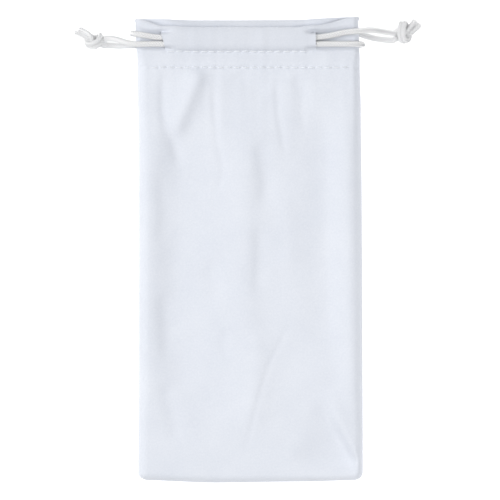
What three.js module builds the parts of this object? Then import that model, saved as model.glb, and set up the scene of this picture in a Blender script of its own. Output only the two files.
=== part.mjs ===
// Soft drawstring pouch for a pair of glasses, lying on its back panel with the drawcords loose.
// Millimetres. +X right, +Y towards the mouth, +Z up from the surface that the pouch lies on.
// The origin is under the middle of the pouch, on that surface.

import * as THREE from 'three';

// Driving dimensions
const pouchLength = 186.8;
const halfWidth = 45.45;
const cloth = 0.5;
const hemCloth = 0.4;
const clearance = 0.3;
const cordDiameter = 2.3;
const threadDiameter = 0.4;

// Heights: back hem, open mouth and front hem lie on top of each other
const mouthGap = 4.8;
const tunnelHeight = cordDiameter + 2 * clearance;
const hemHeight = tunnelHeight + 2 * hemCloth;
const mouthHeight = 2 * hemHeight + mouthGap;
const middleHeight = mouthHeight / 2;
const backCordZ = hemHeight / 2;
const frontCordZ = mouthHeight - hemHeight / 2;
const wrapRadius = (frontCordZ - backCordZ) / 2;

// Places along the pouch
const bottomY = -pouchLength / 2;
const hemBottomY = 72.8;
const panelTopY = hemBottomY - clearance;
const lowerRowY = 74.1;
const upperRowY = 79.0;
const frontLipY = 89.0;
const backLipY = 92.2;
const leftCornerY = 92.6;
const rightCornerY = 93.4;

// Places across the pouch
const leftSlitX = -34.5;
const rightSlitX = 26.5;
const leftFoldX = -halfWidth;
const rightFoldX = 43.6;
const leftCordY = 82.3;
const rightCordY = 84.9;

const clothMaterial = new THREE.MeshStandardMaterial({ color: 0xe4e9f0, roughness: 0.9 });
const seamMaterial = new THREE.MeshStandardMaterial({ color: 0xdbe0ea, roughness: 0.95 });
const threadMaterial = new THREE.MeshStandardMaterial({ color: 0xe9ebf0, roughness: 0.7 });
const cordMaterial = new THREE.MeshStandardMaterial({ color: 0xeeeff2, roughness: 0.6 });

const group = new THREE.Group();

function add(name, geometry, material) {
  const mesh = new THREE.Mesh(geometry, material);
  mesh.name = name;
  group.add(mesh);
}

// A closed sheet of even thickness around a middle surface middle(s, t), with s and t from 0 to 1.
// The front side is the one that s, t and the normal make a right-handed set with.
function sheet(columns, rows, thickness, middle) {
  const nudge = 1e-3;
  const positions = [];
  const indices = [];
  const normal = new THREE.Vector3();
  const across = new THREE.Vector3();
  const along = new THREE.Vector3();
  for (const side of [0.5, -0.5]) {
    for (let row = 0; row <= rows; row += 1) {
      for (let column = 0; column <= columns; column += 1) {
        const s = column / columns;
        const t = row / rows;
        across.copy(middle(Math.min(1, s + nudge), t)).sub(middle(Math.max(0, s - nudge), t));
        along.copy(middle(s, Math.min(1, t + nudge))).sub(middle(s, Math.max(0, t - nudge)));
        normal.crossVectors(across, along).normalize();
        const point = middle(s, t).addScaledVector(normal, side * thickness);
        positions.push(point.x, point.y, point.z);
      }
    }
  }
  const stride = columns + 1;
  const layer = stride * (rows + 1);
  const quad = (a, b, c, d) => indices.push(a, b, c, a, c, d);
  for (let row = 0; row < rows; row += 1) {
    for (let column = 0; column < columns; column += 1) {
      const corner = row * stride + column;
      quad(corner, corner + 1, corner + 1 + stride, corner + stride);
      const under = corner + layer;
      quad(under, under + stride, under + 1 + stride, under + 1);
    }
  }
  const rim = [];
  for (let column = 0; column < columns; column += 1) rim.push(column);
  for (let row = 0; row < rows; row += 1) rim.push(row * stride + columns);
  for (let column = columns; column > 0; column -= 1) rim.push(rows * stride + column);
  for (let row = rows; row > 0; row -= 1) rim.push(row * stride);
  rim.forEach((vertex, place) => {
    const next = rim[(place + 1) % rim.length];
    quad(vertex, vertex + layer, next + layer, next);
  });
  const geometry = new THREE.BufferGeometry();
  geometry.setAttribute('position', new THREE.Float32BufferAttribute(positions, 3));
  geometry.setIndex(indices);
  return geometry;
}

// A round tube along a smooth curve through the given points
function tube(points, diameter, sides, steps) {
  const path = new THREE.CatmullRomCurve3(points.map((point) => new THREE.Vector3(...point)));
  const section = new THREE.Shape();
  for (let side = 0; side < sides; side += 1) {
    const angle = (2 * Math.PI * side) / sides;
    const x = (diameter / 2) * Math.cos(angle);
    const y = (diameter / 2) * Math.sin(angle);
    if (side === 0) section.moveTo(x, y);
    else section.lineTo(x, y);
  }
  section.closePath();
  return new THREE.ExtrudeGeometry(section, { steps, extrudePath: path, bevelEnabled: false });
}

// The panels: heights of their middles and of their sewn edges
const frontPanelZ = mouthHeight - hemHeight + 0.45;
const frontEdgeZ = 3.4;
const backPanelZ = cloth / 2;
const backEdgeZ = 2.55;
const bottomCornerRadius = 3;
const mouthNarrowing = 1.6;
const narrowingStartY = -20;

// The right side is a little further in at the mouth than at the bottom, and the bottom corners
// are round
function edgeX(side, y) {
  const share = THREE.MathUtils.smoothstep(y, narrowingStartY, panelTopY);
  const narrowing = side > 0 ? mouthNarrowing * share : 0;
  const cornerRadius = bottomCornerRadius;
  const intoCorner = Math.max(0, bottomY + cornerRadius - y);
  const rounding = cornerRadius - Math.sqrt(cornerRadius ** 2 - intoCorner ** 2);
  return side * (halfWidth - narrowing - rounding);
}

// 0 over the middle of the pouch, 1 at its sewn edge, for a crowned front and a flat back
const crownPower = 6;
const backFlatShare = 0.75;
const crownFall = (fraction) => Math.abs(fraction) ** crownPower;
const backRise = (fraction) => {
  const pastFlat = Math.max(0, Math.abs(fraction) - backFlatShare);
  return (pastFlat / (1 - backFlatShare)) ** 2;
};

function panel(middleZ, edgeZ, fall) {
  return sheet(18, 16, cloth, (s, t) => {
    // rows are closer together towards the bottom seam
    const y = bottomY + (panelTopY - bottomY) * t ** 2;
    const x = THREE.MathUtils.lerp(edgeX(-1, y), edgeX(1, y), s);
    const towardsBottom = Math.max(0, 1 - (y - bottomY) / halfWidth);
    const edge = 1 - (1 - fall(2 * s - 1)) * (1 - fall(towardsBottom));
    return new THREE.Vector3(x, y, THREE.MathUtils.lerp(middleZ, edgeZ, edge));
  });
}

function addPanels() {
  add('front_panel', panel(frontPanelZ, frontEdgeZ, crownFall), clothMaterial);
  add('back_panel', panel(backPanelZ, backEdgeZ, backRise), clothMaterial);
}

// A hem is the panel's edge folded over and sewn down, which leaves a tunnel for the two cords.
// Its section is drawn for the back hem; mirror turns it over for the front one. It narrows to a
// blunt lip, whose thickness is a share of the hem's height.
const lipShare = 0.16;
const tunnelLipShare = 0.1;
const lipWall = 1;
const stepLength = 1;

function hem(lipY, mirror) {
  const z = (height) => (mirror ? mouthHeight - height : height);
  const tunnelBottomY = leftCordY - cordDiameter / 2 - clearance;
  const tunnelTopY = rightCordY + cordDiameter / 2 + clearance;
  const flangeLow = hemHeight - 2 * hemCloth;
  const outline = [
    [hemBottomY, z(flangeLow)],
    [tunnelBottomY - stepLength, z(flangeLow)],
    [tunnelBottomY - hemCloth, z(0)],
    [tunnelTopY, z(0)],
    [lipY, z((hemHeight * (1 - lipShare)) / 2)],
    [lipY, z((hemHeight * (1 + lipShare)) / 2)],
    [tunnelTopY, z(hemHeight)],
    [hemBottomY, z(hemHeight)],
  ];
  // a hole runs the opposite way round to its outline
  const tunnel = [
    [tunnelBottomY, z(hemCloth)],
    [tunnelBottomY, z(hemHeight - hemCloth)],
    [tunnelTopY, z(hemHeight - hemCloth)],
    [lipY - lipWall, z((hemHeight * (1 + tunnelLipShare)) / 2)],
    [lipY - lipWall, z((hemHeight * (1 - tunnelLipShare)) / 2)],
    [tunnelTopY, z(hemCloth)],
  ];
  const section = new THREE.Shape(outline.map(([y, height]) => new THREE.Vector2(y, height)));
  section.holes.push(new THREE.Path(tunnel.map(([y, height]) => new THREE.Vector2(y, height))));
  const depth = rightSlitX - leftSlitX;
  const geometry = new THREE.ExtrudeGeometry(section, { depth, bevelEnabled: false });
  // the section's own x and y become +Y and +Z, and its depth runs along +X
  const turn = new THREE.Matrix4().makeBasis(
    new THREE.Vector3(0, 1, 0),
    new THREE.Vector3(0, 0, 1),
    new THREE.Vector3(1, 0, 0),
  );
  geometry.applyMatrix4(turn);
  geometry.translate(leftSlitX, 0, 0);
  return geometry;
}

function addHems() {
  add('front_hem_channel', hem(frontLipY, true), clothMaterial);
  add('back_hem_channel', hem(backLipY, false), clothMaterial);
}

// The cloth outside the slits: a front ear, the fold at the side edge, and a back ear, in one
// piece. The cords pass over its front and under its back.
const foldRadius = 1.9;
const slitGap = 0.42;
const earLipY = frontLipY + 0.4;

function mouthCorner(side, slitX, foldX, cornerY) {
  const thickness = 2 * hemCloth;
  const innerX = slitX + side * slitGap;
  const centreX = foldX - side * (foldRadius + thickness / 2);
  const earLength = Math.abs(centreX - innerX);
  const foldLength = Math.PI * foldRadius;
  const total = 2 * earLength + foldLength;
  return sheet(16, 3, thickness, (s, t) => {
    // a left corner runs from its front ear to its back ear, and a right corner the other way
    const run = (side < 0 ? s : 1 - s) * total;
    let x = innerX + side * run;
    let z = middleHeight + foldRadius;
    let slope = run / earLength;
    if (run > earLength) {
      const angle = Math.min(Math.PI, (run - earLength) / foldRadius);
      x = centreX + side * foldRadius * Math.sin(angle);
      z = middleHeight + foldRadius * Math.cos(angle);
      slope = 1;
    }
    if (run > earLength + foldLength) {
      x = centreX - side * (run - earLength - foldLength);
    }
    const topY = THREE.MathUtils.lerp(earLipY, cornerY, slope);
    return new THREE.Vector3(x, THREE.MathUtils.lerp(hemBottomY, topY, t), z);
  });
}

function addMouthCorners() {
  add('left_mouth_corner', mouthCorner(-1, leftSlitX, leftFoldX, leftCornerY), clothMaterial);
  add('right_mouth_corner', mouthCorner(1, rightSlitX, rightFoldX, rightCornerY), clothMaterial);
}

// The raw edges of both panels, turned inside the pouch, and the overlock thread that binds them
const seamZ = 3.1;
const seamThickness = 0.8;
const seamWidth = 4.3;
const seamInset = 2;
const sideSeamLength = 152;
const bottomSeamLength = 78;
const threadEndGap = 2;
const threadSideGap = 0.5;

function seamStrip(x, y, width, length) {
  const geometry = new THREE.BoxGeometry(width, length, seamThickness);
  geometry.translate(x, y, seamZ);
  return geometry;
}

function overlock(length) {
  const pitch = 8;
  const count = Math.floor(length / (pitch / 2));
  const points = [];
  for (let index = 0; index <= count; index += 1) {
    const reach = index % 2 === 0 ? -1 : 1;
    points.push([reach * (seamWidth / 2 - threadSideGap), (index / count - 0.5) * length, 0]);
  }
  return tube(points, threadDiameter, 6, count * 2);
}

function addSeams() {
  const threadZ = seamZ + seamThickness / 2 + clearance + threadDiameter / 2;
  const sideY = panelTopY - 1 - sideSeamLength / 2;
  for (const [name, side] of [['left', -1], ['right', 1]]) {
    const x = side * (Math.abs(edgeX(side, panelTopY)) - seamInset - seamWidth / 2);
    add(`${name}_side_seam`, seamStrip(x, sideY, seamWidth, sideSeamLength), seamMaterial);
    const thread = overlock(sideSeamLength - 2 * threadEndGap);
    thread.translate(x, sideY, threadZ);
    add(`${name}_seam_thread`, thread, threadMaterial);
  }
  const bottomSeamY = bottomY + seamInset + seamWidth / 2;
  add('bottom_seam', seamStrip(0, bottomSeamY, bottomSeamLength, seamWidth), seamMaterial);
  const thread = overlock(bottomSeamLength - 2 * threadEndGap);
  thread.rotateZ(Math.PI / 2);
  thread.translate(0, bottomSeamY, threadZ);
  add('bottom_seam_thread', thread, threadMaterial);
}

// A row of stitches: one thread that wanders a little from hole to hole
function stitchRow(startX, endX, y, z) {
  const pitch = 3.5;
  const wander = 0.3;
  const count = Math.round((endX - startX) / pitch);
  const points = [];
  for (let index = 0; index <= count; index += 1) {
    const drift = index % 2 === 0 ? wander : -wander;
    points.push([THREE.MathUtils.lerp(startX, endX, index / count), y + drift, z]);
  }
  return tube(points, threadDiameter, 6, count * 2);
}

function addStitching() {
  const lift = clearance + threadDiameter / 2;
  const frontZ = mouthHeight - hemHeight + 2 * hemCloth + lift;
  const backZ = hemHeight - 2 * hemCloth - lift;
  const inset = 0.6;
  for (const [row, y] of [['upper', upperRowY], ['lower', lowerRowY]]) {
    for (const [face, z] of [['front', frontZ], ['back', backZ]]) {
      const geometry = stitchRow(leftSlitX + inset, rightSlitX - inset, y, z);
      add(`${face}_hem_${row}_stitching`, geometry, threadMaterial);
    }
  }
}

// Each drawcord is a loop: from its knot over the near ear, through the front tunnel, round the
// far edge of the pouch, back through the back tunnel and under the near ear to the knot.
const wrapInset = 2.55;
const farRight = rightFoldX - wrapInset;
const farLeft = leftFoldX + wrapInset;
const diagonal = wrapRadius * Math.SQRT1_2;

const leftCordRoute = [
  [-58.2, 84.9, 4.3],
  [-55.3, 84.8, 5.3],
  [-52.6, 84.2, 7.0],
  [-49.0, 82.9, 9.4],
  [-46.0, 82.3, frontCordZ],
  [-40, leftCordY, frontCordZ],
  [-20, leftCordY, frontCordZ],
  [0, leftCordY, frontCordZ],
  [20, leftCordY, frontCordZ],
  [36, leftCordY, frontCordZ],
  [farRight, leftCordY, frontCordZ],
  [farRight + diagonal, leftCordY, middleHeight + diagonal],
  [farRight + wrapRadius, leftCordY, middleHeight],
  [farRight + diagonal, leftCordY, middleHeight - diagonal],
  [farRight, leftCordY, backCordZ],
  [36, leftCordY, backCordZ],
  [20, leftCordY, backCordZ],
  [0, leftCordY, backCordZ],
  [-20, leftCordY, backCordZ],
  [-40, leftCordY, backCordZ],
  [-47, leftCordY, backCordZ],
  [-52.6, 82.0, 1.7],
  [-55.3, 82.2, 1.8],
  [-58.2, 82.3, 2.0],
];

const rightCordRoute = [
  [58.4, 86.9, 4.3],
  [55.4, 87.2, 5.4],
  [53.0, 87.5, 6.5],
  [48.6, 87.9, 9.2],
  [43.6, 87.4, frontCordZ],
  [38.2, 86.9, frontCordZ],
  [31.5, 85.5, frontCordZ],
  [25, rightCordY, frontCordZ],
  [10, rightCordY, frontCordZ],
  [-10, rightCordY, frontCordZ],
  [-30, rightCordY, frontCordZ],
  [-37, 85.0, frontCordZ],
  [farLeft, 85.9, frontCordZ],
  [farLeft - diagonal, 86.5, middleHeight + diagonal],
  [farLeft - wrapRadius, 86.8, middleHeight],
  [farLeft - diagonal, 86.7, middleHeight - diagonal],
  [farLeft, 86.3, backCordZ],
  [-37, 85.2, backCordZ],
  [-30, rightCordY, backCordZ],
  [-10, rightCordY, backCordZ],
  [10, rightCordY, backCordZ],
  [25, rightCordY, backCordZ],
  [31.5, 85.4, backCordZ],
  [38.2, 86.6, backCordZ],
  [43.6, 87.0, backCordZ],
  [47.4, 85.8, 1.7],
  [50.9, 85.0, 1.6],
  [54.3, 84.5, 1.6],
  [58.4, 84.3, 2.0],
];

function knot(centre, size) {
  const geometry = new THREE.SphereGeometry(0.5, 14, 10);
  geometry.rotateX(Math.PI / 2);
  geometry.scale(...size);
  geometry.translate(...centre);
  return geometry;
}

function addCord(side, route, knotCentre, knotSize, tails) {
  add(`${side}_drawcord`, tube(route, cordDiameter, 8, 78), cordMaterial);
  add(`${side}_knot`, knot(knotCentre, knotSize), cordMaterial);
  tails.forEach((tail, index) => {
    add(`${side}_cord_tail_${index + 1}`, tube(tail, cordDiameter, 8, 3), cordMaterial);
  });
}

function addCords() {
  const leftTails = [
    [[-65.9, 85.2, 2.2], [-68.0, 86.4, 1.7], [-70.3, 87.6, 1.3]],
    [[-63.9, 87.4, 2.6], [-66.2, 88.4, 2.0], [-68.6, 89.6, 1.5]],
  ];
  const rightTails = [
    [[64.9, 90.2, 2.5], [66.0, 91.4, 1.9], [67.2, 92.9, 1.4]],
    [[66.1, 87.2, 2.2], [67.6, 88.6, 1.7], [69.2, 90.2, 1.3]],
  ];
  addCord('left', leftCordRoute, [-62.3, 83.9, 3.2], [6.6, 6.4, 6.2], leftTails);
  addCord('right', rightCordRoute, [62.2, 87.3, 3.2], [5.4, 9.2, 6.2], rightTails);
}

addPanels();
addHems();
addMouthCorners();
addSeams();
addStitching();
addCords();

export default group;
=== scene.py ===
"""Soft drawstring pouch for glasses: the cloth, stitches, cords, materials and light.

Shapes are worked out in millimetres in the row frame and turned into metres as each mesh is made.
+X is to the right of the front face, +Y runs towards the mouth and +Z is up from the floor.
"""

import math

import bpy
import numpy as np
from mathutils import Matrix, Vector


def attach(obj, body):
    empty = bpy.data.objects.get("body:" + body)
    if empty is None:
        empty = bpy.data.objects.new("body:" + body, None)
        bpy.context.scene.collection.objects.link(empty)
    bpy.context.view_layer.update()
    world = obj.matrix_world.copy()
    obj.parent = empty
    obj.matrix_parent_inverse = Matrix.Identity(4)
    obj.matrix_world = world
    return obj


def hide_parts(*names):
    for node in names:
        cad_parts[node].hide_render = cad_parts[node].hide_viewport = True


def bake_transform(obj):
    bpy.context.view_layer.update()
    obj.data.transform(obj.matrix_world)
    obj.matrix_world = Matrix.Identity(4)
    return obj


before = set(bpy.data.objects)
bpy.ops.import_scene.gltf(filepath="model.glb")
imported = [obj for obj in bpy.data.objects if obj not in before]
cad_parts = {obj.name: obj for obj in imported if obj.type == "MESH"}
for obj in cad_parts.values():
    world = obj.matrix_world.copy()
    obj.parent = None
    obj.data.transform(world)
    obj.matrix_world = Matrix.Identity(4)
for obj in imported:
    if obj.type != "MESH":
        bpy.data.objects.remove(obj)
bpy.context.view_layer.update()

MM = 0.001

# ------------------------------------------------------------------ sizes, in millimetres

CLOTH = 0.45
CORD_DIAMETER = 2.3

# Places along the pouch: the two rows of stitches, the hem's raw edge inside, and where the hem starts
UPPER_ROW_Y = 79.3
LOWER_ROW_Y = 73.0
RAW_EDGE_Y = 71.4
HEM_START_Y = 70.0

# The slits that the cords come out of, on the left (-1) and the right (1)
SLIT_LOW_Y = 80.6
SLIT_HIGH_Y = {"front": 87.0, "back": 87.8}
SLIT_X = {-1: 34.6, 1: 26.4}
SLIT_SLANT = {-1: 0.3, 1: 0.0}

# The outline, as smooth curves: (y, distance from the middle) for the sides, (x, y) for the rest
LEFT_EDGE = [(-93, 44.8), (-60, 44.5), (40, 44.5), (76, 45.1), (86, 45.6), (90, 45.85), (92.6, 45.5)]
RIGHT_EDGE = [(-93, 45.5), (-30, 45.4), (20, 45.1), (56, 44.7), (76, 44.25), (83, 43.85), (93.4, 43.6)]
BOTTOM_EDGE = [(-44, -92.4), (-14, -93.4), (20, -93.0), (45, -92.4)]
FRONT_LIP = [(-45.5, 92.5), (-34, 89.5), (-20, 89.0), (18, 89.0), (26, 89.8), (43.5, 93.3)]
BACK_LIP = [(-45.5, 92.6), (-20, 92.2), (20, 92.3), (43.5, 93.4)]

# The two drawcords' routes in metres, as in the CAD model: front run, turn at the far side, back run
LEFT_ROUTE = [
    (-0.0582, 0.0849, 0.0043), (-0.0553, 0.0848, 0.0053), (-0.0526, 0.0842, 0.007),
    (-0.049, 0.0829, 0.0094), (-0.046, 0.0823, 0.01035), (-0.04, 0.0823, 0.01035),
    (-0.02, 0.0823, 0.01035), (0, 0.0823, 0.01035), (0.02, 0.0823, 0.01035),
    (0.036, 0.0823, 0.01035), (0.04105, 0.0823, 0.01035), (0.044055, 0.0823, 0.009105),
    (0.0453, 0.0823, 0.0061), (0.044055, 0.0823, 0.003095), (0.04105, 0.0823, 0.00185),
    (0.036, 0.0823, 0.00185), (0.02, 0.0823, 0.00185), (0, 0.0823, 0.00185),
    (-0.02, 0.0823, 0.00185), (-0.04, 0.0823, 0.00185), (-0.047, 0.0823, 0.00185),
    (-0.0526, 0.082, 0.0017), (-0.0553, 0.0822, 0.0018), (-0.0582, 0.0823, 0.002),
]
RIGHT_ROUTE = [
    (0.0584, 0.0869, 0.0043), (0.0554, 0.0872, 0.0054), (0.053, 0.0875, 0.0065),
    (0.0486, 0.0879, 0.0092), (0.0436, 0.0874, 0.01035), (0.0382, 0.0869, 0.01035),
    (0.0315, 0.0855, 0.01035), (0.025, 0.0849, 0.01035), (0.01, 0.0849, 0.01035),
    (-0.01, 0.0849, 0.01035), (-0.03, 0.0849, 0.01035), (-0.037, 0.085, 0.01035),
    (-0.0429, 0.0859, 0.01035), (-0.045905, 0.0865, 0.009105), (-0.04715, 0.0868, 0.0061),
    (-0.045905, 0.0867, 0.003095), (-0.0429, 0.0863, 0.00185), (-0.037, 0.0852, 0.00185),
    (-0.03, 0.0849, 0.00185), (-0.01, 0.0849, 0.00185), (0.01, 0.0849, 0.00185),
    (0.025, 0.0849, 0.00185), (0.0315, 0.0854, 0.00185), (0.0382, 0.0866, 0.00185),
    (0.0436, 0.087, 0.00185), (0.0474, 0.0858, 0.0017), (0.0509, 0.085, 0.0016),
    (0.0543, 0.0845, 0.0016), (0.0584, 0.0843, 0.002),
]

# Where each knot sits, the way its tails leave it, its share of the knot's size each way, and its tails
KNOTS = {
    "left": {
        "centre": (-62.2, 83.9, 3.5),
        "towards_tails": (-0.97, 0.24),
        "scale": (1.32, 1.22, 1.05),
        "tails": [
            [(-66.9, 85.9, 2.5), (-68.5, 86.7, 1.9), (-70.2, 87.5, 1.5)],
            [(-65.6, 87.2, 2.9), (-67.0, 88.0, 2.2), (-68.4, 88.9, 1.7)],
        ],
    },
    "right": {
        "centre": (62.1, 87.3, 3.4),
        "towards_tails": (0.96, -0.28),
        "scale": (0.88, 1.85, 1.0),
        "tails": [
            [(64.8, 89.8, 3.0), (65.7, 91.0, 2.3), (66.6, 92.2, 1.7)],
            [(66.1, 88.3, 2.8), (67.3, 89.4, 2.2), (68.4, 90.6, 1.6)],
        ],
    },
}

DRAWCORD = {
    "left": {"exit": (-0.046, 0.0823, 0.01035), "length": 0.213, "turned": 0.0},
    "right": {"exit": (0.0436, 0.0874, 0.01035), "length": 0.218, "turned": 0.8},
}

# A doubled overhand knot: along the cord, across it and up, from where the strands go in
KNOT_ROUTE = [
    (-3.3, 0.0, 0.2), (-2.1, 0.1, -0.5), (-0.4, 0.5, -0.9), (1.2, 0.6, -1.1), (2.3, -0.3, -0.9),
    (2.1, -1.6, 0.3), (0.7, -1.8, 1.6), (-0.8, -0.9, 2.2), (-1.7, 0.6, 2.0), (-1.8, 1.9, 0.5),
    (-1.1, 1.6, -1.5), (-0.6, 0.0, -2.2), (-0.2, -1.6, -1.5), (0.5, -0.9, 0.2), (1.6, 0.3, 0.9),
    (2.8, 0.6, 0.6),
]

KNOT_STEP = 0.4
KNOT_STRAND = 1.85
KNOT_SPREAD = 0.86
TAIL_DIAMETER = 2.15

# The braid: carriers each way round, length of one turn, and the strands that they lay
BRAID_CARRIERS = 6
BRAID_LAY = 6.6
BRAID_STEP = 0.25
BRAID_CORE = 1.3
BRAID_RADIUS = 0.85
BRAID_WEAVE = 0.2
STRAND_WIDTH = 0.74
STRAND_HEIGHT = 0.42

CURVE_POINTS = 24

# Stitches: from hole to hole, the part that shows, and how far along the hem each front row runs
STITCH_PITCH = 3.3
STITCH_LENGTH = 2.8
STITCH_THREAD = 0.4
FULL_ROW = (-42.5, 41.8)
STITCH_ENDS = {"upper": (-34.3, 25.4), "lower": FULL_ROW}
STITCH_JITTER = 0.12
STITCH_SLANT = 0.25
SEAM_ALLOWANCE = 4.2
SEAM_THICKNESS = 0.8
OVERLOCK_PITCH = 3.2

# Heights, up from the floor
SEAM_Z = 3.9
MOUTH_SEAM_Z = 6.15
BODY_Z = (8.5, 9.6)
BAND_Z = 9.6
BAND_EDGE_Z = 9.4
BAND_MIDDLE_Z = 10.3
EAR_Z = 9.95
EAR_DIP = 0.95
CHANNEL_Z = 12.1
BACK_REST_Z = 0.1
BACK_EAR_Z = 3.35
HEM_GAP = 0.95

# Where the channel's front reaches its height, and where the cloth swells between the cords on an ear
CHANNEL_TOP_Y = 82.7
BETWEEN_CORDS_Y = 84.6

# How the edges of a sheet turn
BOTTOM_RADIUS = 3.2
SIDE_RADIUS = (3.8, 2.6)
LIP_RADIUS = (1.3, 3.9)
WIDEST_FLAT = 44
TUCK = 0.02


def smoothstep(low, high, value):
    """0 below low and 1 above high, with an even rise between them; low may be the larger."""
    t = np.clip((np.asarray(value, float) - low) / (high - low), 0, 1)
    return t * t * (3 - 2 * t)


def mix(a, b, t):
    """a where t is 0, b where t is 1, and evenly between."""
    return a + (b - a) * t


def through(value, knots):
    """A smooth line through (place, height) points, level at each of them."""
    places, heights = np.array(knots, float).T
    value = np.clip(value, places[0], places[-1])
    index = np.clip(np.searchsorted(places, value) - 1, 0, len(places) - 2)
    t = (value - places[index]) / (places[index + 1] - places[index])
    return mix(heights[index], heights[index + 1], t * t * (3 - 2 * t))


def half_width(side, y):
    """How far the pouch's edge on one side lies from its middle line."""
    return through(y, LEFT_EDGE if side < 0 else RIGHT_EDGE)


def seam_height(y):
    """Height of the side seams, which rise where the hem is thick."""
    return mix(SEAM_Z, MOUTH_SEAM_Z, smoothstep(72, 80.5, y))


# ------------------------------------------------------------------ meshes


def new_object(name, points, faces, material, uv=None, normals=None):
    """A mesh object from points in millimetres and quads or triangles."""
    mesh = bpy.data.meshes.new(name)
    mesh.from_pydata((np.asarray(points) * MM).tolist(), [], np.asarray(faces).tolist())
    mesh.polygons.foreach_set("use_smooth", [True] * len(mesh.polygons))
    if uv is not None:
        layer = mesh.uv_layers.new(name="UVMap")
        corners = np.empty(len(mesh.loops), int)
        mesh.loops.foreach_get("vertex_index", corners)
        layer.data.foreach_set("uv", np.asarray(uv)[corners].astype(np.float32).ravel())
    if normals is not None:
        mesh.normals_split_custom_set(normals.tolist())
    mesh.materials.append(material)
    thing = bpy.data.objects.new(name, mesh)
    bpy.context.collection.objects.link(thing)
    return thing


def point_normals(points, faces):
    """The mean direction of the quads round each point."""
    normals = np.zeros_like(points)
    corner = points[faces]
    face_normals = np.cross(corner[:, 2] - corner[:, 0], corner[:, 3] - corner[:, 1])
    for place in range(4):
        np.add.at(normals, faces[:, place], face_normals)
    return normals / np.maximum(np.linalg.norm(normals, axis=1), 1e-12)[:, None]


def border_edges(faces):
    """The edges that only one face uses, in that face's direction."""
    starts = faces.ravel()
    ends = np.roll(faces, -1, axis=1).ravel()
    used = set(zip(starts.tolist(), ends.tolist()))
    return [edge for edge in used if (edge[1], edge[0]) not in used]


def thick_sheet(points, faces, normals, thickness):
    """Closes a sheet of quads into a cloth of that thickness, on the side away from its normals."""
    count = len(points)
    under = points - normals * thickness
    rim = np.array([(b, a, a + count, b + count) for a, b in sorted(border_edges(faces))])
    all_points = np.vstack([points, under])
    all_faces = np.vstack([faces, faces[:, ::-1] + count, rim])
    corner = all_points[rim]
    rim_normals = np.cross(corner[:, 2] - corner[:, 0], corner[:, 3] - corner[:, 1])
    rim_normals /= np.maximum(np.linalg.norm(rim_normals, axis=1), 1e-12)[:, None]
    loop_normals = np.vstack(
        [
            normals[faces.ravel()],
            -normals[faces[:, ::-1].ravel()],
            np.repeat(rim_normals, 4, axis=0),
        ]
    )
    return all_points, all_faces, loop_normals


def frames_along(path):
    """Tangents and two steady side directions along a line of points."""
    tangents = np.gradient(path, axis=0)
    tangents /= np.linalg.norm(tangents, axis=1)[:, None]
    side = np.cross(tangents[0], (0.0, 0.0, 1.0))
    if np.linalg.norm(side) < 1e-3:
        side = np.cross(tangents[0], (0.0, 1.0, 0.0))
    sides = np.empty_like(path)
    for index, tangent in enumerate(tangents):
        side = side - tangent * side.dot(tangent)
        side /= np.linalg.norm(side)
        sides[index] = side
    return tangents, sides, np.cross(tangents, sides)


def catmull_rom(points, step):
    """The smooth line through given points, with even steps along it."""
    control = np.asarray(points, float)
    control = np.vstack([2 * control[0] - control[1], control, 2 * control[-1] - control[-2]])
    dense = []
    for a, b, c, d in zip(control, control[1:], control[2:], control[3:]):
        gaps = [max(np.linalg.norm(q - p), 1e-6) ** 0.5 for p, q in ((a, b), (b, c), (c, d))]
        knots = np.cumsum([0] + gaps)
        t = np.linspace(knots[1], knots[2], CURVE_POINTS, endpoint=False)[:, None]
        ab = mix(a, b, (t - knots[0]) / (knots[1] - knots[0]))
        bc = mix(b, c, (t - knots[1]) / (knots[2] - knots[1]))
        cd = mix(c, d, (t - knots[2]) / (knots[3] - knots[2]))
        abc = mix(ab, bc, (t - knots[0]) / (knots[2] - knots[0]))
        bcd = mix(bc, cd, (t - knots[1]) / (knots[3] - knots[1]))
        dense.append(mix(abc, bcd, (t - knots[1]) / (knots[2] - knots[1])))
    dense.append(control[-2][None])
    return even_steps(np.vstack(dense), step)


def even_steps(line, step):
    """The same line with its points the same distance apart."""
    lengths = np.concatenate([[0], np.cumsum(np.linalg.norm(np.diff(line, axis=0), axis=1))])
    count = max(2, int(round(lengths[-1] / step)) + 1)
    wanted = np.linspace(0, lengths[-1], count)
    return np.column_stack([np.interp(wanted, lengths, line[:, axis]) for axis in range(3)])


def tube_faces(count, sides):
    """Quads along a tube of that many rings, and the quads that close its two ends."""
    rows = np.arange(count - 1)[:, None] * sides
    columns = np.arange(sides)[None, :]
    following = (columns + 1) % sides
    quads = np.stack(
        [rows + columns, rows + following, rows + sides + following, rows + sides + columns], axis=-1
    ).reshape(-1, 4)
    first, last = count * sides, count * sides + 1
    base = (count - 1) * sides
    ends = []
    for column in range(0, sides, 2):
        after, beyond = (column + 1) % sides, (column + 2) % sides
        ends.append((first, beyond, after, column))
        ends.append((last, base + column, base + after, base + beyond))
    return np.vstack([quads, np.array(ends)])


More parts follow.
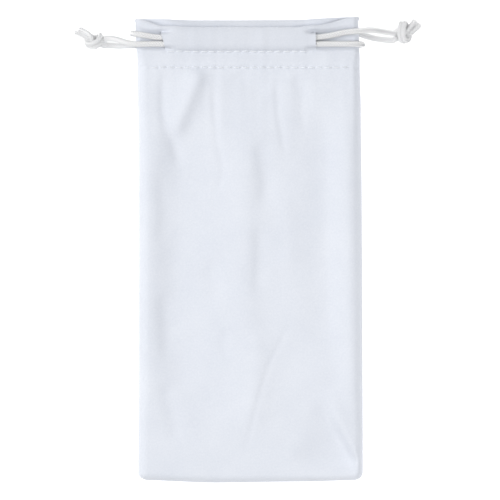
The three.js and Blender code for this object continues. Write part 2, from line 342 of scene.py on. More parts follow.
def sweep(path, width, height, sides, across=None):
    """A closed tube of elliptical section; across is the direction of its width at each point."""
    tangents, side, up = frames_along(path)
    if across is not None:
        side = across - tangents * np.sum(across * tangents, axis=1)[:, None]
        side /= np.linalg.norm(side, axis=1)[:, None]
        up = np.cross(tangents, side)
    angles = np.arange(sides) * 2 * math.pi / sides
    ring = (
        np.cos(angles)[None, :, None] * side[:, None, :] * np.reshape(width, (-1, 1, 1)) / 2
        + np.sin(angles)[None, :, None] * up[:, None, :] * np.reshape(height, (-1, 1, 1)) / 2
    )
    points = (path[:, None, :] + ring).reshape(-1, 3)
    points = np.vstack([points, path[0], path[-1]])
    count = len(path)
    along = np.repeat(np.linspace(0, 1, count), sides)
    around = np.tile(np.abs(2 * np.arange(sides) / sides - 1), count)
    length = np.linalg.norm(np.diff(path, axis=0), axis=1).sum()
    uv = np.vstack([np.column_stack([along * length, around]), [0, 0], [length, 0]])
    return points, tube_faces(count, sides), uv


def joined(parts):
    """Several (points, faces, uv) shapes as one."""
    points, faces, uvs, count = [], [], [], 0
    for part_points, part_faces, part_uv in parts:
        points.append(part_points)
        faces.append(part_faces + count)
        uvs.append(part_uv)
        count += len(part_points)
    return np.vstack(points), np.vstack(faces), np.vstack(uvs)


# ------------------------------------------------------------------ materials

CLOTH_DARK = (0.650, 0.680, 0.745)
CLOTH_LIGHT = (0.720, 0.745, 0.800)


class Nodes:
    """Short names for building a node material."""

    def __init__(self, name, **settings):
        self.material = bpy.data.materials.new(name)
        self.material.use_nodes = True
        self.tree = self.material.node_tree
        self.shader = self.tree.nodes["Principled BSDF"]
        for socket, value in settings.items():
            self.shader.inputs[socket.replace("_", " ")].default_value = value

    def add(self, kind, inputs=None, **settings):
        node = self.tree.nodes.new(kind)
        for name, value in settings.items():
            setattr(node, name, value)
        for name, value in (inputs or {}).items():
            if isinstance(value, bpy.types.NodeSocket):
                self.tree.links.new(value, node.inputs[name])
            else:
                node.inputs[name].default_value = value
        return node

    def math(self, operation, *values):
        return self.add("ShaderNodeMath", dict(enumerate(values)), operation=operation).outputs[0]

    def bump(self, height, strength, distance, **inputs):
        values = {"Height": height, "Strength": strength, "Distance": distance, **inputs}
        return self.add("ShaderNodeBump", values).outputs["Normal"]

    def ramp(self, share, low, high):
        """A colour between two, each given as (position, colour)."""
        node = self.add("ShaderNodeValToRGB", {"Fac": share})
        for element, (position, colour) in zip(node.color_ramp.elements, (low, high)):
            element.position = position
            element.color = (*colour, 1)
        return node.outputs["Color"]

    def link(self, output, name):
        self.tree.links.new(output, self.shader.inputs[name])


def noise(nodes, vector, scale, detail=2.0, roughness=0.5):
    """Soft noise from 0 to 1, of that many waves to a metre."""
    return nodes.add(
        "ShaderNodeTexNoise",
        {"Vector": vector, "Scale": scale, "Detail": detail, "Roughness": roughness},
    ).outputs["Fac"]


def microfibre_material():
    """Cool white brushed microfibre: a fine nap, soft clumps in it, a faint unevenness of tone and
    painted shade over the hem.
    """
    nodes = Nodes(
        "microfibre",
        Roughness=0.92,
        Sheen_Weight=0.25,
        Sheen_Roughness=0.45,
        Specular_IOR_Level=0.2,
    )
    place = nodes.add("ShaderNodeTexCoord").outputs["Object"]
    both = nodes.math("ADD", noise(nodes, place, 55.0, 4.0, 0.55), noise(nodes, place, 1400.0, 2.0))
    tone = nodes.ramp(nodes.math("MULTIPLY", both, 0.5), (0.3, CLOTH_DARK), (0.7, CLOTH_LIGHT))
    # painted shade: the hem is several layers thick and lets less light through, so its colour is made a
    # little darker there
    along = nodes.add("ShaderNodeSeparateXYZ", {"Vector": place}).outputs["Y"]
    painted_hem_shade = nodes.add(
        "ShaderNodeMapRange",
        {"Value": along, "From Min": 0.0745, "From Max": 0.0815, "To Min": 1.0, "To Max": 0.95},
    ).outputs["Result"]
    cloth = nodes.add("ShaderNodeVectorMath", {0: tone, "Scale": painted_hem_shade}, operation="SCALE").outputs[0]
    nodes.link(cloth, "Base Color")
    fine = nodes.bump(noise(nodes, place, 5200.0, 3.0, 0.7), 0.25, 0.00008)
    bump = nodes.bump(noise(nodes, place, 750.0, 3.0, 0.6), 0.3, 0.00012, Normal=fine)
    nodes.link(bump, "Normal")
    return nodes.material


def yarn_material(name, light, painted_shade_colour, filaments, twist):
    """Yarn of many fine filaments that run along the strand with a slight twist, with painted shade at
    the sides of each strand.
    """
    nodes = Nodes(
        name,
        Roughness=0.55,
        Sheen_Weight=0.3,
        Sheen_Roughness=0.4,
        Specular_IOR_Level=0.35,
    )
    uv = nodes.add("ShaderNodeTexCoord").outputs["UV"]
    parts = nodes.add("ShaderNodeSeparateXYZ", {"Vector": uv})
    along, around = parts.outputs["X"], parts.outputs["Y"]
    turn = nodes.math("ADD", around, nodes.math("MULTIPLY", along, twist))
    wave = nodes.math("SINE", nodes.math("MULTIPLY", turn, filaments * 2 * math.pi))
    lines = nodes.math("MULTIPLY_ADD", wave, 0.12, 0.88)
    # painted shade: the colour goes from the light colour on each strand's crown to the dark one at its
    # sides, where it dips under its neighbours; the filament lines and the fuzz add their own tone
    crown = nodes.math("SINE", nodes.math("MULTIPLY", around, math.pi))
    height = nodes.math("MULTIPLY", lines, crown)
    place = nodes.add("ShaderNodeTexCoord").outputs["Object"]
    fuzz = nodes.math("MULTIPLY_ADD", noise(nodes, place, 2600.0, 3.0, 0.65), 0.5, 0.75)
    shade = nodes.math("MULTIPLY", height, fuzz)
    nodes.link(nodes.ramp(shade, (0.3, painted_shade_colour), (0.8, light)), "Base Color")
    nodes.link(nodes.bump(shade, 0.5, 0.00005), "Normal")
    return nodes.material


MICROFIBRE = microfibre_material()
THREAD = yarn_material("sewing_thread", (0.88, 0.90, 0.93), (0.62, 0.65, 0.70), filaments=3, twist=0.9)
CORD = yarn_material("braided_cord", (1.0, 1.0, 1.0), (0.47, 0.48, 0.50), filaments=4, twist=0.4)

# ------------------------------------------------------------------ relief of the front cloth

FOLD_DEPTH = 1.7

# Seeds of the random unevenness of each region
BODY_SEED = 5
BODY_GATHER_SEED = 3
BAND_SEED = 8
PUCKER_SEED = 9
CHANNEL_SEED = 21
BACK_SEED = 31

# Each fold: height, how wide it falls away on its left and right, and the line it follows
FOLDS = [
    (0.7, 8.0, 6.5, [(-2, 60), (-1.5, 30), (-2, 8), (-2, -12), (-1, -30), (0, -46), (-1, -64),
                     (-4, -84)]),
    (0.35, 4.0, 7.5, [(3, -28), (5, -44), (2, -60), (-2, -76)]),
    (-1.0, 7.0, 12.0, [(-26, 64), (-27, 30), (-28, 5), (-29, -10), (-28, -30), (-26, -50), (-23, -74)]),
    (0.5, 3.5, 5.0, [(-38.5, 66), (-39.5, 20), (-40, -40), (-38, -80)]),
    (-0.95, 9.0, 4.5, [(28, 64), (30, 30), (30, 0), (31, -30), (32, -50)]),
    (0.7, 4.5, 3.0, [(39, 70), (39.5, 20), (40, -30), (41, -84)]),
    (1.05, 4.0, 3.4, [(-18.5, 76), (-22, 66), (-27, 54), (-31, 43)]),
    (-0.45, 2.4, 2.6, [(-35, 72), (-34.5, 56), (-31, 44), (-27, 30)]),
    (-0.2, 1.1, 1.6, [(-15.2, 70), (-13.2, 45), (-10.5, 31), (-14.6, 19)]),
    (-0.22, 1.3, 1.6, [(10.5, 70), (11.5, 54), (14.4, 36)]),
    (-0.16, 1.6, 1.4, [(21.5, 70), (21, 56), (22, 44)]),
    (-0.4, 3.0, 4.0, [(4.5, 46), (4.8, 36), (6.5, 26), (5.0, 16)]),
    (-0.3, 2.6, 3.4, [(3.6, 12), (3.8, 0), (3.2, -12), (2.6, -20)]),
    (-0.12, 0.9, 1.4, [(18, -26), (7.5, -46), (2, -65), (-2.8, -85)]),
    (0.4, 2.6, 3.0, [(32, -54), (35.5, -66), (41, -79), (47, -92)]),
    (-0.3, 4.0, 3.5, [(-6, 72), (0, 66), (8, 62)]),
    (-0.25, 4.0, 3.0, [(18, 70), (22, 62), (24, 54)]),
    (-0.22, 3.5, 3.0, [(-15, -2), (-14, -14), (-12, -22)]),
    (-0.2, 2.0, 2.5, [(-9, -30), (-11, -38), (-8, -44)]),
    (-0.25, 3.0, 3.5, [(-36, 32), (-34, 14), (-36, 0)]),
    (-0.35, 3.0, 3.5, [(-35, -16), (-33.5, -32), (-33, -46)]),
    (-0.35, 3.0, 3.5, [(-34, -52), (-31, -66), (-29, -78)]),
    (0.2, 3.5, 4.0, [(14, 24), (16, 4), (15, -12)]),
]


def nearest_on_line(x, y, line):
    """Distance from a line of points, how far to its right, and the share of its length passed."""
    lengths = np.concatenate([[0], np.cumsum(np.linalg.norm(np.diff(line, axis=0), axis=1))])
    nearest = np.full_like(x, np.inf)
    signed = np.zeros_like(x)
    along = np.zeros_like(x)
    for start, end, before in zip(line, line[1:], lengths):
        run = end - start
        size = np.linalg.norm(run)
        t = np.clip(((x - start[0]) * run[0] + (y - start[1]) * run[1]) / size**2, 0, 1)
        dx = x - start[0] - t * run[0]
        dy = y - start[1] - t * run[1]
        distance = np.hypot(dx, dy)
        closer = distance < nearest
        nearest = np.where(closer, distance, nearest)
        signed = np.where(closer, dx, signed)
        along = np.where(closer, (before + t * size) / lengths[-1], along)
    return nearest, signed, along


def fold_heights(x, y):
    """The placed folds of the front cloth, each fading out at both ends of its line."""
    total = np.zeros_like(x)
    for height, left, right, line in FOLDS:
        nearest, signed, along = nearest_on_line(x, y, np.array(line, float))
        width = mix(left, right, smoothstep(-1.5, 1.5, signed))
        taper = smoothstep(0, 0.22, along) * smoothstep(1, 0.75, along)
        total += FOLD_DEPTH * height * taper * np.exp(-((nearest / width) ** 2))
    return total


def corner_dip(x, y):
    """A flat facet at the lower right that falls away to the right and stops at a sharp ridge."""
    apex_x, apex_y, height = 27, -60, 24
    softness, slope, deepest, ridge_width = 1.5, 0.2, 3, 4.0
    down = np.clip(apex_y - y, 0, height)
    left = apex_x - 0.42 * down
    right = apex_x + 0.55 * down
    fall = softness * np.log1p(np.exp((x - left) / softness))
    depth = slope * np.minimum(fall, right - left)
    depth = deepest * np.tanh(depth / deepest)
    return -depth * smoothstep(ridge_width, 0, x - right) * smoothstep(-92.5, -83, y)


def ripples(x, y, seed, count, shortest, longest):
    """Soft random unevenness: that many waves of random direction, between two lengths."""
    random = np.random.default_rng(seed)
    total = np.zeros_like(x)
    for _ in range(count):
        angle = random.uniform(0, math.pi)
        length = random.uniform(shortest, longest)
        phase = random.uniform(0, 2 * math.pi)
        wave = (x * math.cos(angle) + y * math.sin(angle)) * 2 * math.pi / length
        total += np.sin(wave + phase) * length / longest
    return total / math.sqrt(count)


def gathers(x, seed):
    """Uneven small pleats side by side along a hem."""
    random = np.random.default_rng(seed)
    total = np.zeros_like(x)
    for length in (4.1, 5.3, 6.7, 8.9, 12.4):
        total += np.sin(x * 2 * math.pi / length + random.uniform(0, 6.3)) * math.sqrt(length / 8)
    return total / 3


def stitch_dimple(x, y, row_y):
    """The shallow valley along a row of stitches, deepest at the needle holes."""
    hole = 0.5 + 0.5 * np.cos(x * 2 * math.pi / STITCH_PITCH)
    return -(0.14 + 0.34 * hole) * np.exp(-(((y - row_y) / 0.65) ** 2))


def slit_line(side, y):
    """How far from the middle the slit lies on one side, which is a little aslant on the left."""
    middle = (SLIT_LOW_Y + SLIT_HIGH_Y["front"]) / 2
    slant = SLIT_SLANT[side] * smoothstep(6, 2, np.abs(y - middle)) * (y - middle)
    return SLIT_X[side] + slant


# ------------------------------------------------------------------ front and back sheets


def opening(face, side, x, y, in_slit):
    """How far the cloth is lifted over the cords: 0 on the ears, 1 in the channel between the slits."""
    depth = smoothstep(0, 5.5, slit_line(side, y) - np.abs(x))
    t = np.clip((y - SLIT_LOW_Y) / (SLIT_HIGH_Y[face] - SLIT_LOW_Y), 0, 1)
    arch = 1 - np.abs(2 * t - 1) ** 8
    return 1 - (1 - arch * in_slit) * (1 - depth)


def front_below_channel(side, x, y):
    """The front from the bottom to the upper row: the body with its folds, then the flatter band."""
    body = mix(*BODY_Z, smoothstep(-10, 73, y))
    body += fold_heights(x, y) + 0.16 * ripples(x, y, BODY_SEED, 14, 9, 34)
    body += corner_dip(x, y)
    body += 0.1 * smoothstep(8, 66, y) ** 3 * gathers(x, BODY_GATHER_SEED)
    edge = half_width(side, y) - np.abs(x)
    raised = mix(BAND_EDGE_Z, BAND_MIDDLE_Z, smoothstep(0, 12, edge))
    band = mix(BAND_Z, raised, smoothstep(73, 80, y))
    band = band + 0.1 * gathers(x, PUCKER_SEED) + 0.05 * ripples(x, y, BAND_SEED, 8, 4, 9)
    low = mix(body, band, smoothstep(69, 74.5, y))
    return low + stitch_dimple(x, y, LOWER_ROW_Y)


def front_ear(side, x, y, low):
    """The front outside a slit: pressed down under the cords, and up again to the lip above them."""
    edge = half_width(side, y) - np.abs(x)
    inside = slit_line(side, y) - np.abs(x)
    if side < 0:
        top = mix(88.6, 86.8, smoothstep(0, 9, edge))
        between, bulge = smoothstep(-6, -9.5, inside), 1.1
    else:
        top = mix(89.0, 87.0, smoothstep(4, 17, edge))
        between, bulge = smoothstep(-7, -13, inside), 0.3
    ear = mix(low, EAR_Z, smoothstep(77, 80.5, y))
    ear -= EAR_DIP * smoothstep(79.3, 80.9, y) * (1 - smoothstep(top - 0.5, top + 0.9, y))
    ear += bulge * between * np.exp(-(((y - BETWEEN_CORDS_Y) / 0.75) ** 2))
    ear += 2.0 * smoothstep(86.9, 88.7, y) * smoothstep(-10, 3, inside)
    return ear + stitch_dimple(x, y, UPPER_ROW_Y) * smoothstep(-1.0, 1.0, inside)


def front_channel(x, y, low):
    """The front between the slits, lifted over the cords that run inside."""
    t = np.clip((y - UPPER_ROW_Y) / (CHANNEL_TOP_Y - UPPER_ROW_Y), 0, 1)
    rise = 1 - (1 - t) ** 2
    channel = mix(low, CHANNEL_Z, rise) + stitch_dimple(x, y, UPPER_ROW_Y)
    uneven = 0.1 * gathers(x, PUCKER_SEED) + 0.06 * ripples(x, y, CHANNEL_SEED, 10, 5, 15)
    return channel + rise * uneven


def front_outer(side, x, y, in_slit):
    """Height of the front cloth's outer layer, up to where it starts to fold over at the lip."""
    low = front_below_channel(side, x, y)
    ear = front_ear(side, x, y, low)
    return mix(ear, front_channel(x, y, low), opening("front", side, x, y, in_slit))


def back_lift(side, x, y, start, end):
    """How far the back's lip comes up behind the front's, past the cords."""
    edge = half_width(side, y) - np.abs(x)
    return mix(4.6, 2.6, smoothstep(17, 3, edge)) * smoothstep(start, end, y)


def back_outer(side, x, y, in_slit):
    """Height of the back cloth's outer layer, which lies on the floor except where cords pass under."""
    flat = BACK_REST_Z + 0.12 * np.abs(ripples(x, y, BACK_SEED, 10, 14, 40))
    for row_y in (LOWER_ROW_Y, UPPER_ROW_Y):
        flat -= 2.2 * stitch_dimple(x, y, row_y)
    lifted = mix(flat, BACK_EAR_Z, smoothstep(73.5, 80.4, y))
    height = mix(lifted, flat, opening("back", side, x, y, in_slit))
    return height + back_lift(side, x, y, 87.0, 91.0)


def sheet_rows(front):
    """Row parameters in order from the bottom seam to the raw edge inside the hem."""
    bottom = [("bottom", t) for t in np.sin(np.linspace(math.pi / 2, 0, 9)[:-1])]
    body_count = 152 if front else 96
    body = [("body", t) for t in np.linspace(0, 1, body_count)[:-1]]
    hem = [("hem", t) for t in np.linspace(0, 1, 40 if front else 30)[:-1]]
    lip = [("lip", t) for t in np.linspace(0, 1, 13)[:-1]]
    inner = [("inner", t) for t in np.linspace(0, 1, 24)]
    return bottom + body + hem + lip + inner


def sheet_columns(front):
    """Column parameters: 0 to 1 from the middle to the slit, then to 2 at the side and 3 at its seam."""
    to_slit = 40 if front else 28
    beyond = 14 if front else 10
    flat = list(np.linspace(0, 1, to_slit + 1)) + list(1 + np.linspace(0, 1, beyond + 1)[1:])
    roll = list(2 + np.sin(np.linspace(0, math.pi / 2, 9))[1:])
    return flat + roll, to_slit


def sheet_place(front, side, kinds, t, c, rolled_x, rolled_y):
    """Where each point lies seen from above, and where its column starts to fold over at the lip."""
    lip_line = FRONT_LIP if front else BACK_LIP
    x = side * WIDEST_FLAT * np.clip(c / 2, 0, 1) * np.ones_like(rolled_x)
    # y depends a little on x and x on y, so a few rounds settle both
    for _ in range(3):
        nose = mix(*LIP_RADIUS, smoothstep(0, 14, SLIT_X[side] - np.abs(x)))
        nose_y = through(x, lip_line) - nose
        bottom_y = through(x, BOTTOM_EDGE) + BOTTOM_RADIUS
        y = np.select(
            [kinds == "bottom", kinds == "body", kinds == "hem", kinds == "lip"],
            [
                bottom_y - BOTTOM_RADIUS * rolled_y,
                mix(bottom_y, HEM_START_Y, t),
                mix(HEM_START_Y, nose_y, t),
                nose_y + nose * np.sin(t * math.pi),
            ],
            mix(nose_y, RAW_EDGE_Y, t),
        )
        radius = mix(*SIDE_RADIUS, smoothstep(72, 80, y))
        slit_x = slit_line(side, y)
        flat_x = half_width(side, y) - radius
        flat = np.where(c <= 1, slit_x * c, mix(slit_x, flat_x, np.clip(c - 1, 0, 1)))
        x = side * (flat + radius * rolled_x)
    return x, y, nose_y


def sheet_height(front, side, x, y, nose_y, kinds, t, in_slit):
    """Height of each point: the outer layer, then over the lip and down inside the hem."""
    outer = front_outer if front else back_outer
    top = outer(side, x, y, in_slit)
    nose_top = outer(side, x, nose_y, in_slit)
    depth = smoothstep(0, 6, SLIT_X[side] - np.abs(x))
    if front:
        inner_level = mix(8.1, 8.7, depth)
        tucked = top - HEM_GAP
    else:
        inner_level = mix(4.25, 3.75, depth) + back_lift(side, x, y, 83.0, 89.0)
        tucked = top + HEM_GAP
    inner = mix(tucked, inner_level, smoothstep(77.5, 80.5, y))
    half = (nose_top - inner_level) / 2
    curl = inner_level + half + half * np.cos(t * math.pi)
    return np.select([kinds == "lip", kinds == "inner"], [curl, inner], top)


def sheet_side(front, side):
    """One side of a sheet as a grid, from the middle to the side seam, with the slit shut and open."""
    columns, slit_column = sheet_columns(front)
    rows = sheet_rows(front)
    kinds = np.array([kind for kind, _ in rows])[:, None]
    t = np.array([value for _, value in rows])[:, None]
    c = np.array(columns)[None, :]
    ones = np.ones((len(rows), len(columns)))

    # roll and fall are 0 on the flat and 1 at the side and bottom seams
    roll = np.clip(c - 2, 0, 1) * ones
    fall = np.where(kinds == "bottom", t, 0) * ones
    rolled_x = roll * np.sqrt(1 - fall**2 / 2)
    rolled_y = fall * np.sqrt(1 - roll**2 / 2)
    sink = np.sqrt(np.clip(1 - rolled_x**2 - rolled_y**2, 0, 1))

    x, y, nose_y = sheet_place(front, side, kinds, t, c, rolled_x, rolled_y)
    tucked_x = x * (1 - TUCK * (kinds == "inner"))
    grids = []
    for at_slit in (0.0, 1.0):
        in_slit = np.select([c < 1, c == 1], [1.0, at_slit], 0.0) * ones
        z = sheet_height(front, side, x, y, nose_y, kinds, t, in_slit)
        z = seam_height(y) + (z - seam_height(y)) * sink
        grids.append(np.stack([tucked_x, y, z * ones], axis=-1))
    return grids, rows, columns, slit_column


def sheet_grids(front):
    """Both sides of a panel joined at the middle, with the slits shut and with them open."""
    sides = {side: sheet_side(front, side) for side in (-1, 1)}
    _, rows, columns, slit_column = sides[1]
    middle = len(columns) - 1
    closed = np.zeros((len(rows), 2 * middle + 1, 3))
    open_edge = np.zeros_like(closed)
    for side, (grids, _, _, _) in sides.items():
        order = middle + side * np.arange(len(columns))
        closed[:, order] = grids[0]
        open_edge[:, order] = grids[1]
    closed[:, middle] = (sides[-1][0][0][:, 0] + sides[1][0][0][:, 0]) / 2
    kinds = [kind for kind, _ in rows]
    return closed, open_edge, kinds, (middle - slit_column, middle + slit_column)


def whole_sheet(front):
    """Points and quads of a whole panel with its hem, cut open along the two slits."""
    grid, open_edge, kinds, (low, high) = sheet_grids(front)
    row_count, width = grid.shape[:2]
    slit_high = SLIT_HIGH_Y["front" if front else "back"]
    first = row_count * width
    index = np.arange(first).reshape(row_count, width)
    extra_points = []
    channel_index = index.copy()
    for place in (low, high):
        for row, kind in enumerate(kinds):
            if kind == "hem" and SLIT_LOW_Y < grid[row, place, 1] < slit_high:
                channel_index[row, place] = first + len(extra_points)
                extra_points.append(open_edge[row, place])
    points = np.vstack([grid.reshape(-1, 3), np.array(extra_points)])
    faces = []
    for row in range(row_count - 1):
        for place in range(width - 1):
            source = channel_index if low <= place < high else index
            quad = (
                source[row, place],
                source[row, place + 1],
                source[row + 1, place + 1],
                source[row + 1, place],
            )
            faces.append(quad if front else quad[::-1])
    return points, np.array(faces)


def follow_corner(thing):
    """Bakes a piece's placement into its mesh and reads out its points."""
    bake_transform(thing)
    count = len(thing.data.vertices)
    points = np.empty(count * 3, np.float32)
    thing.data.vertices.foreach_get("co", points)


def make_sheet(front):
    """One panel with its hem, in two halves, left and right."""
    points, faces = whole_sheet(front)
    normals = point_normals(points, faces)
    face = "front" if front else "back"
    centre = points[faces][:, :, 0].mean(axis=1)
    for side, name in ((-1, "left"), (1, "right")):
        chosen = faces[centre * side > 0]
        used, local = np.unique(chosen, return_inverse=True)
        local = local.reshape(chosen.shape)
        solid = thick_sheet(points[used], local, normals[used], CLOTH)
        thing = new_object(
            f"{face}_cloth_{name}", solid[0], solid[1], MICROFIBRE, normals=solid[2]
        )
        follow_corner(thing)
        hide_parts(f"{face}_panel", f"{face}_hem_channel", f"{name}_mouth_corner")


# ------------------------------------------------------------------ drawcords and knots


def braid(path, diameter, turned=0.0):
    """A braided cord along an even path, turned about it: a core, and carriers that cross in a twill."""
    path = even_steps(np.asarray(path), BRAID_STEP)
    share = np.linspace(0, 1, len(path))
    given = np.linspace(0, 1, np.size(diameter))
    scale = np.interp(share, given, np.atleast_1d(diameter)) / CORD_DIAMETER
    _, side, up = frames_along(path)
    s = np.arange(len(path)) * BRAID_STEP
    core = BRAID_CORE * scale[::4]
    parts = [sweep(path[::4], core, core, 10)]
    for turn in (1, -1):
        for carrier in range(BRAID_CARRIERS):
            angle = turn * 2 * math.pi * s / BRAID_LAY + carrier * 2 * math.pi / BRAID_CARRIERS + turned
            crossing = turn * 2 * BRAID_CARRIERS * s / BRAID_LAY + 2 * carrier
            weave = turn * np.cos((crossing - 0.5) * math.pi / 2)
            radius = (BRAID_RADIUS + BRAID_WEAVE * weave) * scale
            outward = np.cos(angle)[:, None] * side + np.sin(angle)[:, None] * up
            around = np.cos(angle)[:, None] * up - np.sin(angle)[:, None] * side
            line = path + outward * radius[:, None]
            strand = sweep(line, STRAND_WIDTH * scale, STRAND_HEIGHT * scale, 6, across=around)
            parts.append(strand)
    return joined(parts)


def side_by_side(route, centre):
    """The direction, along a route round a knot's centre, in which its two strands lie apart."""
    tangents = np.gradient(route, axis=0)
    raw = np.cross(tangents, route - centre)
    for index in range(1, len(raw)):
        if raw[index].dot(raw[index - 1]) < 0:
            raw[index] = -raw[index]
    window = np.ones(13) / 13
    padded = np.pad(raw, ((6, 6), (0, 0)), mode="edge")
    smooth = np.column_stack([np.convolve(padded[:, axis], window, "valid") for axis in range(3)])
    return smooth / np.linalg.norm(smooth, axis=1)[:, None]


def knot_strands(name, cord_ends):
    """The two strands' paths from the cord's ends, through the knot, to the cut ends of the tails."""
    knot = KNOTS[name]
    centre = np.array(knot["centre"])
    u = np.array((*knot["towards_tails"], 0.0))
    u /= np.linalg.norm(u)
    v = np.array((-u[1], u[0], 0.0)) * (1 if name == "right" else -1)
    local = np.array(KNOT_ROUTE) * knot["scale"]
    route = centre + local[:, :1] * u + local[:, 1:2] * v + local[:, 2:] * (0, 0, 1)
    route = catmull_rom(route, KNOT_STEP)
    apart = side_by_side(route, centre) * KNOT_SPREAD
    if (apart[0] * (cord_ends[0] - cord_ends[1])).sum() < 0:
        apart = -apart
    paths = []
    between_tails = np.array(knot["tails"][0][0]) - knot["tails"][1][0]
    first_tail = 1 if (apart[-1] * between_tails).sum() > 0 else -1
    for sign, end in ((1, cord_ends[0]), (-1, cord_ends[1])):
        tail = knot["tails"][0 if sign == first_tail else 1]
        strand = np.vstack([end[None], route[2:-2:3] + sign * apart[2:-2:3], np.array(tail)])
        paths.append(catmull_rom(strand, BRAID_STEP))
    return paths


def make_cord(name, route):
    """A drawcord with its knot and tails, which slide together."""
    body = f"{name}_cord"
    centreline = catmull_rom(np.array(route) / MM, BRAID_STEP)
    points, faces, uv = braid(centreline, CORD_DIAMETER, DRAWCORD[name]["turned"])
    cord = new_object(f"{name}_braided_drawcord", points, faces, CORD, uv=uv)
    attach(cord, body)
    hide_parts(f"{name}_drawcord")
    share = np.linspace(0, 1, 40)
    diameter = mix(CORD_DIAMETER, KNOT_STRAND, smoothstep(0, 0.1, share))
    diameter = mix(diameter, TAIL_DIAMETER, smoothstep(0.8, 0.9, share))
    for number, path in enumerate(knot_strands(name, (centreline[0], centreline[-1])), start=1):
        points, faces, uv = braid(path, diameter)
        strand = new_object(
            f"{name}_knot_strand_{number}", points, faces, CORD, uv=uv
        )
        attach(strand, body)
        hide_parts(f"{name}_knot", f"{name}_cord_tail_{number}")


# ------------------------------------------------------------------ stitching and seams


def stitch(outer, lift, start, row_y, random):
    """One lockstitch on a cloth's outer layer, dipping into its two needle holes."""
    t = np.linspace(0, 1, 9)
    x = start + t * STITCH_LENGTH
    y = row_y + random.uniform(-STITCH_JITTER, STITCH_JITTER)
    y = y + (t - 0.5) * random.uniform(-STITCH_SLANT, STITCH_SLANT)
    side = -1 if start < 0 else 1
    middle = np.full(9, start + STITCH_LENGTH / 2)
    in_slit = (np.abs(middle) < slit_line(side, row_y)) * 1.0
    surface = outer(side, middle, np.full(9, row_y), in_slit)
    arch = 0.24 - 0.8 * np.abs(2 * t - 1) ** 3
    line = np.column_stack([x, y, surface + lift * arch])
    return sweep(line, STITCH_THREAD, STITCH_THREAD * 0.8, 6)


def make_stitches(front, row, row_y):
    """One row of lockstitches across a panel, in two pieces, left and right."""
    face, outer = ("front", front_outer) if front else ("back", back_outer)
    lift = 1 if front else -1
    low, high = STITCH_ENDS[row] if front else FULL_ROW
    holes = np.arange(math.ceil(low / STITCH_PITCH), math.floor(high / STITCH_PITCH) + 1)
    random = np.random.default_rng(int(row_y * 10) + front)
    parts = {-1: [], 1: []}
    for hole in holes[:-1]:
        start = hole * STITCH_PITCH + (STITCH_PITCH - STITCH_LENGTH) / 2
        parts[-1 if hole < 0 else 1].append(stitch(outer, lift, start, row_y, random))
    for side, name in ((-1, "left"), (1, "right")):
        points, faces, uv = joined(parts[side])
        thing = new_object(
            f"{face}_{row}_stitches_{name}", points, faces, THREAD, uv=uv
        )
        follow_corner(thing)
        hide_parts(f"{face}_hem_{row}_stitching")


def strip(line, inward, lift):
    """A seam allowance: a flat strip of doubled cloth that runs inwards from a line."""
    across = np.linspace(0, 1, 4)[None, :, None]
    top = line[:, None, :] + inward[:, None, :] * across + np.array((0, 0, lift))
    rows, columns = top.shape[:2]
    index = np.arange(rows * columns).reshape(rows, columns)
    faces = np.stack([index[:-1, :-1], index[:-1, 1:], index[1:, 1:], index[1:, :-1]], axis=-1)
    faces = faces.reshape(-1, 4)
    points = top.reshape(-1, 3)
    normals = point_normals(points, faces)
    if normals[:, 2].mean() < 0:
        faces = faces[:, ::-1]
        normals = -normals
    return thick_sheet(points, faces, normals, SEAM_THICKNESS)


def overlock(line, inward):
    """Thread that winds round the raw edge of a seam allowance."""
    length = np.linalg.norm(np.diff(line, axis=0), axis=1).sum()
    turns = int(length / OVERLOCK_PITCH)
    t = np.linspace(0, 1, turns * 8)
    places = np.linspace(0, 1, len(line))
    base = np.column_stack([np.interp(t, places, line[:, axis]) for axis in range(3)])
    reach = np.column_stack([np.interp(t, places, inward[:, axis]) for axis in range(3)])
    angle = t * turns * 2 * math.pi
    base += reach * (0.88 + 0.2 * np.cos(angle))[:, None]
    base[:, 2] += 0.62 * np.sin(angle)
    return sweep(base, STITCH_THREAD, STITCH_THREAD, 5)


def make_side_seam(side, name):
    """The turned-in edges and overlock of one side seam."""
    y = np.linspace(-88.0, 72.0, 81)
    zero = np.zeros_like(y)
    line = np.column_stack([side * (half_width(side, y) - 0.4), y, seam_height(y)])
    inward = np.column_stack([zero - side * SEAM_ALLOWANCE, zero, zero])
    add_seam(f"{name}_side", line, inward, side)


def add_seam(name, line, inward, side):
    """A seam's two pieces; side is 0 for a seam that stays with the pouch."""
    points, faces, normals = strip(line, inward, SEAM_THICKNESS / 2)
    cloth = new_object(
        f"{name}_seam_allowance", points, faces, MICROFIBRE, normals=normals
    )
    points, faces, uv = overlock(line, inward)
    thread = new_object(f"{name}_overlock", points, faces, THREAD, uv=uv)
    for thing in (cloth, thread):
        if side:
            follow_corner(thing)
        else:
            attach(thing, "pouch")
    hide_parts(f"{name}_seam")
    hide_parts(f"{name.removesuffix('_side')}_seam_thread")


def make_bottom_seam():
    """The turned-in edges and overlock of the bottom seam."""
    x = np.linspace(-38.0, 38.5, 61)
    line = np.column_stack([x, through(x, BOTTOM_EDGE) + 0.4, np.full_like(x, SEAM_Z)])
    inward = np.tile((0.0, SEAM_ALLOWANCE, 0.0), (len(x), 1))
    add_seam("bottom", line, inward, 0)


# ------------------------------------------------------------------ floor, camera and light


PICTURE_WIDTH = 0.2004
LENS = 200.0
SENSOR = 36.0
SIGHT_X = 0.00015
FLOOR_GLOW = 0.45
WORLD_LIGHT = 0.43


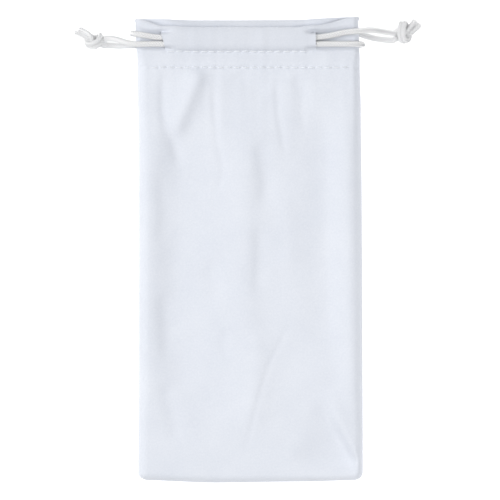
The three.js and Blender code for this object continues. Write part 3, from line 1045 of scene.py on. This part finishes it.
def make_floor():
    """A white floor that glows a little, like a light table."""
    bpy.ops.mesh.primitive_plane_add(size=3.0)
    floor = bpy.context.object
    floor.name = "floor"
    nodes = Nodes("floor_white", Roughness=0.9, Specular_IOR_Level=0.1)
    nodes.shader.inputs["Base Color"].default_value = (0.97, 0.97, 0.97, 1)
    nodes.shader.inputs["Emission Color"].default_value = (1.0, 1.0, 1.0, 1)
    nodes.shader.inputs["Emission Strength"].default_value = FLOOR_GLOW
    floor.data.materials.append(nodes.material)


def make_camera():
    """Straight above, with a long lens, and PICTURE_WIDTH wide at half the pouch's height."""
    data = bpy.data.cameras.new("camera")
    data.sensor_width = SENSOR
    data.lens = LENS
    camera = bpy.data.objects.new("camera", data)
    camera.location = (SIGHT_X, 0.0, PICTURE_WIDTH * LENS / SENSOR + 6 * MM)
    bpy.context.collection.objects.link(camera)
    bpy.context.scene.camera = camera


def area_light(name, location, size, energy):
    """A round lamp that points at the middle of the pouch."""
    data = bpy.data.lights.new(name, "AREA")
    data.shape = "DISK"
    data.size = size
    data.energy = energy
    light = bpy.data.objects.new(name, data)
    light.location = location
    light.rotation_mode = "QUATERNION"
    light.rotation_quaternion = (-Vector(location)).to_track_quat("-Z", "Y")
    bpy.context.collection.objects.link(light)


def make_light():
    """Even studio light from all round, a key from the left and a weak fill from the right."""
    world = bpy.data.worlds.new("studio")
    world.use_nodes = True
    background = world.node_tree.nodes["Background"]
    background.inputs["Color"].default_value = (1.0, 1.0, 1.0, 1)
    background.inputs["Strength"].default_value = WORLD_LIGHT
    bpy.context.scene.world = world
    area_light("key", (-0.87, 0.29, 0.72), 0.6, 7.0)
    area_light("fill", (0.22, -0.12, 0.66), 0.5, 2.4)
    bpy.context.scene.view_settings.view_transform = "Standard"
    bpy.context.scene.view_settings.look = "None"


make_camera()
make_cord("left", LEFT_ROUTE)
make_cord("right", RIGHT_ROUTE)
make_floor()
make_light()
make_sheet(front=True)
make_sheet(front=False)
for is_front in (True, False):
    make_stitches(is_front, "upper", UPPER_ROW_Y)
    make_stitches(is_front, "lower", LOWER_ROW_Y)
make_side_seam(-1, "left")
make_side_seam(1, "right")
make_bottom_seam()
